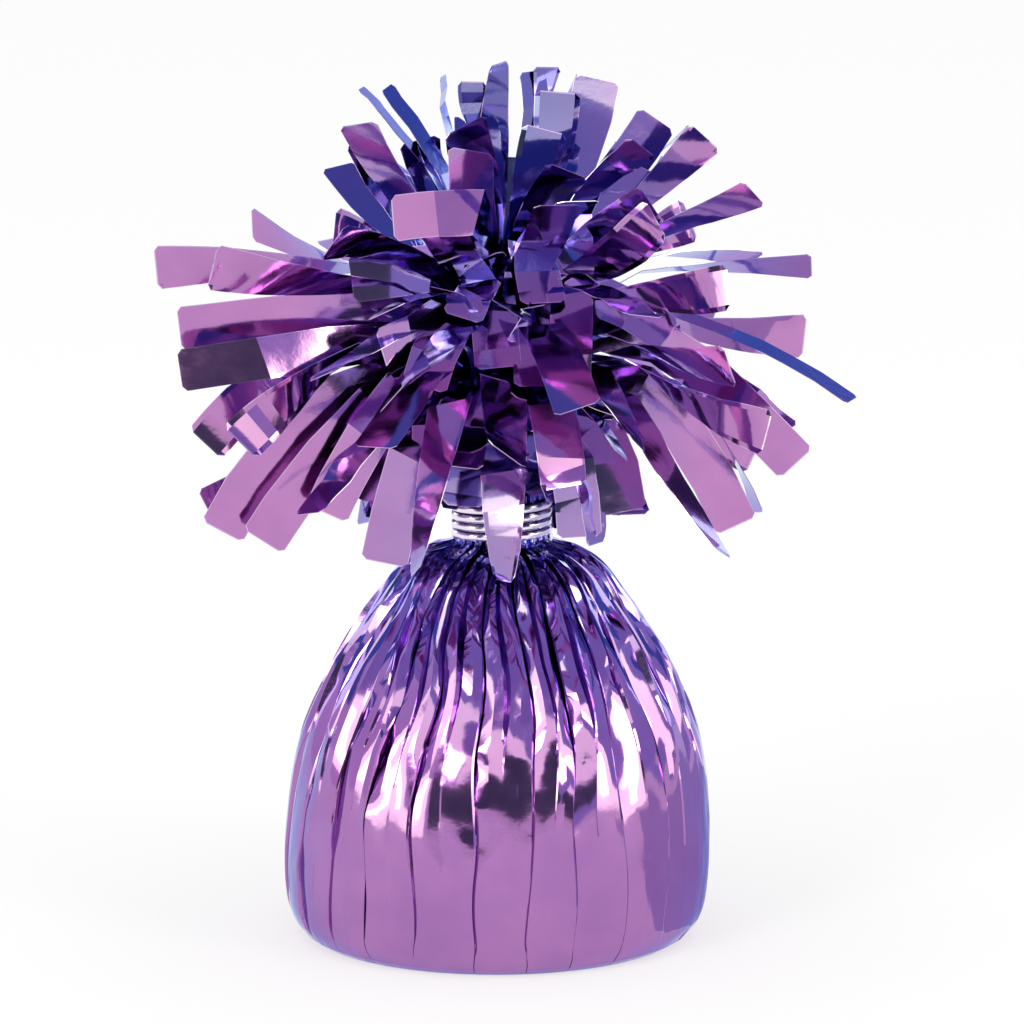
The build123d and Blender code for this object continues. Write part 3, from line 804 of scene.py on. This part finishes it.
# Fringe core: the short and crushed strips in the heart of the fringe and round its foot. They are
# offcuts of the same sheet, crumpled when the bunch was squeezed into the tie.
FRONT = -math.pi / 2
GOLDEN_SHARE = 0.381966
CORE_SEED = 31
CORE_REACH = 0.029
CORE_CEILING = 0.114
CORE_FOLDS = 4
CORE_TILT = 0.4
CORE_TURN = 0.3
CORE_STEEPEST = 1.4
# Crushed strips in the heart of the fringe
CORE_STRIPS = 40
CORE_ROOT = 0.003
CORE_ROOTS = (0.082, 0.099)
CORE_RISES = (0.3, 1.35)
CORE_LENGTHS = (0.018, 0.034)
CORE_ROOT_WIDTH = 0.0036
CORE_WIDTHS = (0.0062, 0.0076)
CORE_FALL = 0.1
# Tatters that hang from the flare, all round but for the front, where the tie shows
TATTERS = 10
TIE_SIGHT = 0.75
TATTER_ROOT = 0.0099
TATTER_HEIGHT = 0.0792
TATTER_RISE = -1.15
TATTER_LENGTHS = (0.007, 0.017)
TATTER_WIDTHS = (0.0056, 0.0068)
TATTER_FALL = 0.03
# Strips that droop under the lowest tier
UNDER_STRIPS = 13
UNDER_SHIFT = 0.3
UNDER_STRAY = 0.12
UNDER_ROOT = 0.0045
UNDER_ROOTS = (0.0800, 0.0860)
UNDER_RISE = 0.35
UNDER_LENGTHS = (0.024, 0.042)
UNDER_WIDTHS = (0.0045, 0.0070)
UNDER_FALL = 0.4
# Width of a listed strip: its share at the root, and what each fold adds
PATH_ROOT_SHARE = 0.55
PATH_WIDENING = 0.3


def crushed_folds(dice, place, around, rise, length, widths, fall):
    """Folds of one short strip that turns sharply at each of them."""
    roll = dice.uniform(-CORE_TILT, CORE_TILT)
    folds = []
    for fold in range(CORE_FOLDS + 1):
        flat = Vector((math.cos(around), math.sin(around), 0))
        along = flat * math.cos(rise) + Vector((0, 0, math.sin(rise)))
        across = Vector((0, 0, 1)).cross(along).normalized()
        across.rotate(Matrix.Rotation(roll, 3, along))
        width = widths[0] + (widths[1] - widths[0]) * min(1.0, 2 * fold / CORE_FOLDS)
        folds.append((place.copy(), along, across, width))
        place = place + along * length / CORE_FOLDS
        if math.hypot(place.x, place.y) > CORE_REACH or place.z > CORE_CEILING:
            break
        rise += dice.uniform(-CORE_TILT, CORE_TILT) - fall
        rise = max(-CORE_STEEPEST, min(CORE_STEEPEST, rise))
        around += dice.uniform(-CORE_TURN, CORE_TURN)
        roll += dice.uniform(-CORE_TURN, CORE_TURN)
    return folds


def path_folds(side, width, places):
    """Folds of a strip through these places, with its width along one side."""
    points = [Vector(place) for place in places]
    folds = []
    for number, point in enumerate(points):
        along = (points[min(number + 1, len(points) - 1)] - points[max(number - 1, 0)]).normalized()
        across = (Vector(side) - along * along.dot(Vector(side))).normalized()
        share = min(1.0, PATH_ROOT_SHARE + PATH_WIDENING * number)
        folds.append((point, along, across, width * share))
    return folds


# Broad strips that lie over the front of the core: side, width and the places of their folds
FRONT_STRIPS = [
    ((1, 0, 0.1), 0.0078, [
        (0.0015, -0.002, 0.096), (0.0035, -0.006, 0.103), (0.0058, -0.008, 0.1092),
        (0.0072, -0.001, 0.117), (0.0083, 0.005, 0.1243), (0.0087, 0.0062, 0.1268),
    ]),
    ((1, 0, 0), 0.0066, [
        (0.002, -0.001, 0.095), (0.007, -0.003, 0.109), (0.011, -0.006, 0.1165),
        (0.011, -0.013, 0.1095), (0.0108, -0.020, 0.102), (0.0106, -0.0252, 0.097),
        (0.0104, -0.0258, 0.093),
    ]),
    ((1, 0, 0), 0.0072, [
        (0.001, -0.002, 0.097), (0.003, -0.008, 0.104), (0.005, -0.015, 0.1035),
        (0.0054, -0.021, 0.0983), (0.0055, -0.027, 0.0926),
    ]),
    ((0, -0.7, -0.7), 0.0082, [
        (0.004, -0.004, 0.093), (0.008, -0.013, 0.090), (0.003, -0.0195, 0.0882),
        (-0.004, -0.021, 0.0886), (-0.0098, -0.0205, 0.0896),
    ]),
    ((1, 0, 0.5), 0.0072, [
        (0.0005, -0.002, 0.097), (0.001, -0.008, 0.108), (-0.001, -0.013, 0.1095),
        (-0.0042, -0.0165, 0.1055), (-0.0062, -0.0185, 0.102),
    ]),
    ((0.8, 0, -0.5), 0.0074, [
        (0.002, -0.001, 0.097), (0.009, -0.004, 0.105), (0.015, -0.006, 0.110),
        (0.0185, -0.002, 0.117), (0.0212, 0.002, 0.1235),
    ]),
    ((0, -0.64, -0.77), 0.0074, [
        (0.002, -0.002, 0.095), (0.008, -0.007, 0.101), (0.014, -0.011, 0.105),
        (0.020, -0.013, 0.1025), (0.026, -0.014, 0.0985),
    ]),
    ((1, 0, 0), 0.0070, [
        (0.004, -0.004, 0.086), (0.008, -0.011, 0.0835), (0.0108, -0.0142, 0.079),
        (0.0118, -0.0146, 0.073), (0.0122, -0.0149, 0.0668),
    ]),
    ((1, 0, 0.2), 0.0068, [
        (-0.003, -0.004, 0.088), (-0.008, -0.012, 0.0885), (-0.0105, -0.017, 0.085),
        (-0.0108, -0.0178, 0.0792),
    ]),
    ((0, -0.05, 1), 0.0070, [
        (-0.001, -0.003, 0.096), (-0.005, -0.009, 0.102), (-0.009, -0.015, 0.102),
        (-0.014, -0.019, 0.099), (-0.0186, -0.021, 0.0973),
    ]),
    ((0, 0.17, 0.98), 0.0076, [
        (-0.001, -0.002, 0.098), (-0.006, -0.006, 0.106), (-0.011, -0.009, 0.1085),
        (-0.017, -0.011, 0.108), (-0.0235, -0.0122, 0.1073),
    ]),
    ((0.9, 0.2, 0.3), 0.0072, [
        (0.004, -0.003, 0.088), (0.010, -0.008, 0.0885), (0.015, -0.0112, 0.0845),
        (0.018, -0.0125, 0.0775), (0.0192, -0.013, 0.0705),
    ]),
    ((0.9, -0.2, -0.35), 0.0072, [
        (-0.004, -0.003, 0.088), (-0.011, -0.007, 0.0895), (-0.017, -0.010, 0.0865),
        (-0.021, -0.0115, 0.080), (-0.0238, -0.012, 0.073),
    ]),
    ((1, 0.3, 0), 0.0068, [
        (-0.002, -0.006, 0.083), (-0.0048, -0.0105, 0.080), (-0.0056, -0.0113, 0.0755),
        (-0.006, -0.0117, 0.0712),
    ]),
    ((1, -0.3, 0), 0.0068, [
        (0.003, -0.006, 0.083), (0.0058, -0.0102, 0.080), (0.0066, -0.0109, 0.0765),
        (0.007, -0.0112, 0.0730),
    ]),
    ((1, 0, 0), 0.0070, [
        (0, 0.001, 0.096), (0.0003, 0.002, 0.106), (0.0008, 0.003, 0.116), (0.0012, 0.0042, 0.1245),
    ]),
    ((1, 0, 0.1), 0.0072, [
        (-0.001, -0.003, 0.097), (-0.0015, -0.009, 0.104), (-0.0015, -0.015, 0.1045),
        (-0.001, -0.020, 0.100), (-0.0005, -0.024, 0.095),
    ]),
    ((1, 0, -0.2), 0.0072, [
        (0.0005, -0.002, 0.098), (0.002, -0.007, 0.108), (0.004, -0.011, 0.1125),
        (0.0055, -0.016, 0.109), (0.0065, -0.020, 0.1045),
    ]),
    ((0.9, 0.3, 0), 0.0072, [
        (-0.002, -0.003, 0.095), (-0.005, -0.009, 0.100), (-0.008, -0.015, 0.1005),
        (-0.0105, -0.020, 0.0965), (-0.012, -0.023, 0.092),
    ]),
    ((0.93, 0, -0.3), 0.0074, [
        (-0.004, -0.004, 0.084), (-0.009, -0.010, 0.0842), (-0.013, -0.014, 0.079),
        (-0.0156, -0.0160, 0.072), (-0.0182, -0.0172, 0.0648),
    ]),
]

# Strips that hang out of the core to its left and right, and stand up from it
SIDE_STRIPS = [
    ((0, -0.06, 1), 0.0070, [
        (-0.003, -0.003, 0.096), (-0.012, -0.007, 0.101), (-0.027, -0.009, 0.1015),
        (-0.040, -0.010, 0.1003), (-0.0505, -0.0102, 0.0991),
    ]),
    ((0, 0.2, 1), 0.0066, [
        (-0.003, -0.003, 0.093), (-0.014, -0.007, 0.097), (-0.027, -0.013, 0.0965),
        (-0.037, -0.017, 0.0955), (-0.0500, -0.0176, 0.0936),
    ]),
    ((0.8, 0.15, -0.6), 0.0074, [
        (-0.004, -0.004, 0.088), (-0.016, -0.009, 0.092), (-0.026, -0.012, 0.0885),
        (-0.034, -0.014, 0.082), (-0.040, -0.015, 0.0745), (-0.0438, -0.0155, 0.0678),
    ]),
    ((0.8, 0.15, -0.6), 0.0074, [
        (-0.003, -0.005, 0.088), (-0.012, -0.011, 0.091), (-0.020, -0.015, 0.0875),
        (-0.0275, -0.017, 0.080), (-0.0335, -0.018, 0.0725), (-0.0373, -0.0185, 0.0668),
    ]),
    ((0.8, 0.15, -0.6), 0.0072, [
        (-0.002, -0.005, 0.090), (-0.009, -0.012, 0.094), (-0.0155, -0.0175, 0.0905),
        (-0.021, -0.020, 0.0835), (-0.025, -0.021, 0.0765), (-0.0273, -0.0213, 0.0717),
    ]),
    ((0.7, -0.15, 0.7), 0.0072, [
        (0.003, -0.003, 0.092), (0.014, -0.006, 0.098), (0.024, -0.008, 0.097),
        (0.032, -0.009, 0.092), (0.039, -0.0095, 0.085), (0.0463, -0.0095, 0.0776),
    ]),
    ((0.85, -0.15, 0.5), 0.0072, [
        (0.004, -0.004, 0.088), (0.014, -0.008, 0.092), (0.022, -0.011, 0.090),
        (0.028, -0.0125, 0.084), (0.033, -0.013, 0.076), (0.0368, -0.0132, 0.0683),
    ]),
    ((0.12, 1, 0), 0.0066, [
        (-0.001, 0.000, 0.098), (-0.005, 0.001, 0.112), (-0.012, 0.002, 0.124),
        (-0.0185, 0.003, 0.1315), (-0.0222, 0.0035, 0.1355),
    ]),
    ((0.26, 1, 0.1), 0.0066, [
        (-0.001, 0.001, 0.098), (-0.004, 0.002, 0.110), (-0.009, 0.003, 0.122),
        (-0.014, 0.004, 0.130), (-0.0182, 0.0045, 0.1355),
    ]),
    ((0.14, 1, 0), 0.0062, [
        (0.000, 0.001, 0.098), (-0.003, 0.002, 0.112), (-0.0068, 0.003, 0.124),
        (-0.0094, 0.003, 0.133), (-0.0092, 0.003, 0.1375),
    ]),
    ((0.95, -0.1, -0.3), 0.0072, [
        (0.0015, -0.004, 0.098), (0.006, 0.000, 0.110), (0.0105, 0.005, 0.121),
        (0.0138, 0.009, 0.130), (0.0152, 0.011, 0.1362),
    ]),
    ((0.8, 0.2, -0.55), 0.0070, [
        (0.002, -0.002, 0.098), (0.009, -0.001, 0.110), (0.016, 0.001, 0.119),
        (0.0215, 0.003, 0.126), (0.0245, 0.004, 0.1305),
    ]),
    ((0.6, 0.8, 0), 0.0068, [
        (0.0005, 0.000, 0.098), (0.002, 0.001, 0.112), (0.0044, 0.002, 0.124),
        (0.0054, 0.0025, 0.133), (0.0048, 0.003, 0.1382),
    ]),
    ((0.1, -0.12, 1), 0.0072, [
        (-0.001, -0.004, 0.103), (-0.0015, -0.018, 0.115), (-0.0035, -0.0335, 0.1203),
        (-0.0098, -0.0392, 0.1208), (-0.0164, -0.0402, 0.1202),
    ]),
    ((0.95, 0.05, -0.3), 0.0074, [
        (-0.004, -0.005, 0.084), (-0.010, -0.014, 0.0855), (-0.0142, -0.0188, 0.080),
        (-0.0166, -0.0188, 0.0715), (-0.0184, -0.0176, 0.0632),
    ]),
]

core_dice = random.Random(CORE_SEED)
strips = []
for number, (side, width, places) in enumerate(FRONT_STRIPS):
    strips.append(lay_strip(f"front_{number}", path_folds(side, width, places), core_dice))
for number in range(CORE_STRIPS):
    around = 2 * math.pi * number * GOLDEN_SHARE
    root_height = core_dice.uniform(*CORE_ROOTS)
    root = Vector((CORE_ROOT * math.cos(around), CORE_ROOT * math.sin(around), root_height))
    rise = core_dice.uniform(*CORE_RISES)
    length = core_dice.uniform(*CORE_LENGTHS)
    widths = (CORE_ROOT_WIDTH, core_dice.uniform(*CORE_WIDTHS))
    folds = crushed_folds(core_dice, root, around, rise, length, widths, CORE_FALL)
    if len(folds) > 2:
        strips.append(lay_strip(f"core_{number}", folds, core_dice))
for number in range(TATTERS):
    around = FRONT + TIE_SIGHT + (2 * math.pi - 2 * TIE_SIGHT) * number / (TATTERS - 1)
    root = Vector((TATTER_ROOT * math.cos(around), TATTER_ROOT * math.sin(around), TATTER_HEIGHT))
    length = core_dice.uniform(*TATTER_LENGTHS)
    folds = crushed_folds(core_dice, root, around, TATTER_RISE, length, TATTER_WIDTHS, TATTER_FALL)
    strips.append(lay_strip(f"tatter_{number}", folds, core_dice))
for number in range(UNDER_STRIPS):
    stray = core_dice.uniform(-UNDER_STRAY, UNDER_STRAY)
    around = 2 * math.pi * (number + UNDER_SHIFT) / UNDER_STRIPS + stray
    root_height = core_dice.uniform(*UNDER_ROOTS)
    root = Vector((UNDER_ROOT * math.cos(around), UNDER_ROOT * math.sin(around), root_height))
    length = core_dice.uniform(*UNDER_LENGTHS)
    folds = crushed_folds(core_dice, root, around, UNDER_RISE, length, UNDER_WIDTHS, UNDER_FALL)
    strips.append(lay_strip(f"under_{number}", folds, core_dice))
for number, (side, width, places) in enumerate(SIDE_STRIPS):
    strips.append(lay_strip(f"side_{number}", path_folds(side, width, places), core_dice))
core = join_strips(strips)
finish_strips(core, "fringe_core")
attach(core, "fringe")
core.select_set(False)


# Studio: a pale floor and a white surround. Round the object stand the things that its mirror film
# shows: a violet ceiling and walls, white soft boxes, and a dark screen round the camera.
FLOOR_SIZE = 6.0
FLOOR_GLOW = 0.6
bpy.ops.mesh.primitive_plane_add(size=FLOOR_SIZE)
floor = bpy.context.object
floor.name = "floor"
pale = bpy.data.materials.new("pale_floor")
pale.use_nodes = True
nodes, links = pale.node_tree.nodes, pale.node_tree.links
paint = nodes["Principled BSDF"]
paint.inputs["Base Color"].default_value = (0.92, 0.92, 0.92, 1)
paint.inputs["Roughness"].default_value = 0.8
paint.inputs["Specular IOR Level"].default_value = 0.0
sight = nodes.new("ShaderNodeLightPath")
seen = nodes.new("ShaderNodeMath")
seen.operation = "ADD"
seen.use_clamp = True
links.new(sight.outputs["Is Camera Ray"], seen.inputs[0])
links.new(sight.outputs["Is Glossy Ray"], seen.inputs[1])
passed = nodes.new("ShaderNodeMath")
passed.operation = "ADD"
passed.use_clamp = True
links.new(seen.outputs["Value"], passed.inputs[0])
links.new(sight.outputs["Is Transmission Ray"], passed.inputs[1])
faded = nodes.new("ShaderNodeMath")
faded.operation = "MULTIPLY"
faded.inputs[1].default_value = FLOOR_GLOW
links.new(passed.outputs["Value"], faded.inputs[0])
paper = nodes.new("ShaderNodeEmission")
mixed = nodes.new("ShaderNodeMixShader")
links.new(faded.outputs["Value"], mixed.inputs["Fac"])
links.new(paint.outputs["BSDF"], mixed.inputs[1])
links.new(paper.outputs["Emission"], mixed.inputs[2])
links.new(mixed.outputs["Shader"], nodes["Material Output"].inputs["Surface"])
floor.data.materials.append(pale)
floor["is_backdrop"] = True


def show_in_film(screen, colour):
    """Makes a screen glow evenly, for the film alone."""
    cloth = bpy.data.materials.new(screen.name)
    cloth.use_nodes = True
    cloth.node_tree.nodes.clear()
    glow = cloth.node_tree.nodes.new("ShaderNodeEmission")
    glow.inputs["Color"].default_value = (*colour, 1)
    outlet = cloth.node_tree.nodes.new("ShaderNodeOutputMaterial")
    cloth.node_tree.links.new(glow.outputs["Emission"], outlet.inputs["Surface"])
    screen.data.materials.append(cloth)
    screen.visible_camera = False
    screen.visible_diffuse = False
    screen.visible_shadow = False
    screen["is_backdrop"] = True


SCREEN_COLUMNS = 48


def hang_screen(name, colour, ring, low, high, left, right):
    """A curved screen that only the film shows, between these angles from the table and the camera."""
    bpy.ops.mesh.primitive_grid_add(x_subdivisions=SCREEN_COLUMNS, y_subdivisions=1, size=1)
    screen = bpy.context.object
    screen.name = name
    for vertex in screen.data.vertices:
        turn = math.radians(left + (right - left) * (vertex.co.x + 0.5)) - math.pi / 2
        rise = math.tan(math.radians(low + (high - low) * (vertex.co.y + 0.5)))
        vertex.co = (ring * math.cos(turn), ring * math.sin(turn), ring * rise)
    show_in_film(screen, colour)


# Name, colour, distance, and the lowest, highest, leftmost and rightmost edge in degrees
SCREENS = [
    ("ceiling_screen", (0.38, 0.36, 0.68), 1.36, 37, 71, -110, 110),
    ("rear_ceiling_screen", (0.1, 0.18, 0.5), 1.36, 18, 71, 110, 250),
    ("zenith_screen", (0.09, 0.2, 0.52), 1.36, 71, 88, -180, 180),
    ("left_wall_screen", (0.78, 0.7, 0.92), 1.38, 4, 37, -180, 0),
    ("right_wall_screen", (0.46, 0.48, 0.82), 1.38, 4, 37, 0, 180),
    ("left_box", (2.7, 3.3, 2.1), 1.32, 2, 35, -78, -44),
    ("right_box", (2.7, 3.3, 2.1), 1.32, 2, 35, 40, 90),
    ("left_flash", (5.5, 7.5, 4.5), 1.3, 6, 28, -68, -54),
    ("right_flash", (5.5, 7.5, 4.5), 1.3, 6, 28, 52, 72),
    ("rear_left_box", (1.8, 1.9, 1.8), 1.32, 5, 18, -160, -130),
    ("rear_right_box", (1.8, 1.9, 1.8), 1.32, 5, 18, 135, 165),
    ("camera_panel", (1.9, 2.2, 1.6), 1.32, 20, 35, -24, 26),
    ("camera_screen", (0.09, 0.12, 0.15), 1.28, 4, 19, -38, 27),
]
for name, colour, ring, low, high, left, right in SCREENS:
    hang_screen(name, colour, ring, low, high, left, right)

# A pale violet card on the table, at the right of the object
CARD_CORNERS = ((0.033, -0.02), (1.2, -0.35), (0.033, 0.1), (1.2, 1.2))
CARD_HEIGHT = 0.0004
CARD_COLOUR = (0.57, 0.56, 0.76)
bpy.ops.mesh.primitive_plane_add(size=1)
card = bpy.context.object
card.name = "side_card"
for vertex, spot in zip(card.data.vertices, CARD_CORNERS):
    vertex.co = (*spot, CARD_HEIGHT)
show_in_film(card, CARD_COLOUR)

world = bpy.data.worlds.new("white_surround")
bpy.context.scene.world = world
world.use_nodes = True
world.node_tree.nodes["Background"].inputs["Color"].default_value = (1, 1, 1, 1)
world.node_tree.nodes["Background"].inputs["Strength"].default_value = 1.0

# Name, place, power and size of the lamps
LAMPS = [
    ("key_lamp", (-0.7, -1.0, 0.72), 5.0, 0.4),
    ("side_lamp", (0.9, -0.75, 0.5), 3.0, 0.35),
]
LAMP_COLOUR = (1.0, 0.95, 0.9)
LAMP_AIM = Vector((0, 0, 0.06))
for name, place, power, size in LAMPS:
    bpy.ops.object.light_add(type="AREA", location=place)
    lamp = bpy.context.object
    lamp.name = name
    lamp.data.energy = power
    lamp.data.size = size
    lamp.data.color = LAMP_COLOUR
    lamp.rotation_euler = (LAMP_AIM - Vector(place)).to_track_quat("-Z", "Y").to_euler()

# Camera: a long lens, ninety centimetres away and ten degrees above the table. It is aimed at the
# middle of the object and framed as the photograph is.
LENS = 200.0
SENSOR = 36.0
PIXEL = 0.0001592
IMAGE = 1024
EYE_LEVEL = math.radians(10)
AIM = Vector((0.0016, 0, 0.0682))
distance = PIXEL * IMAGE * LENS / SENSOR
bpy.ops.object.camera_add(
    location=AIM + Vector((0, -math.cos(EYE_LEVEL), math.sin(EYE_LEVEL))) * distance,
    rotation=(math.pi / 2 - EYE_LEVEL, 0, 0),
)
camera = bpy.context.object
camera.data.lens = LENS
camera.data.sensor_width = SENSOR
bpy.context.scene.camera = camera
bpy.context.scene.view_settings.view_transform = "Standard"

low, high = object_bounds()
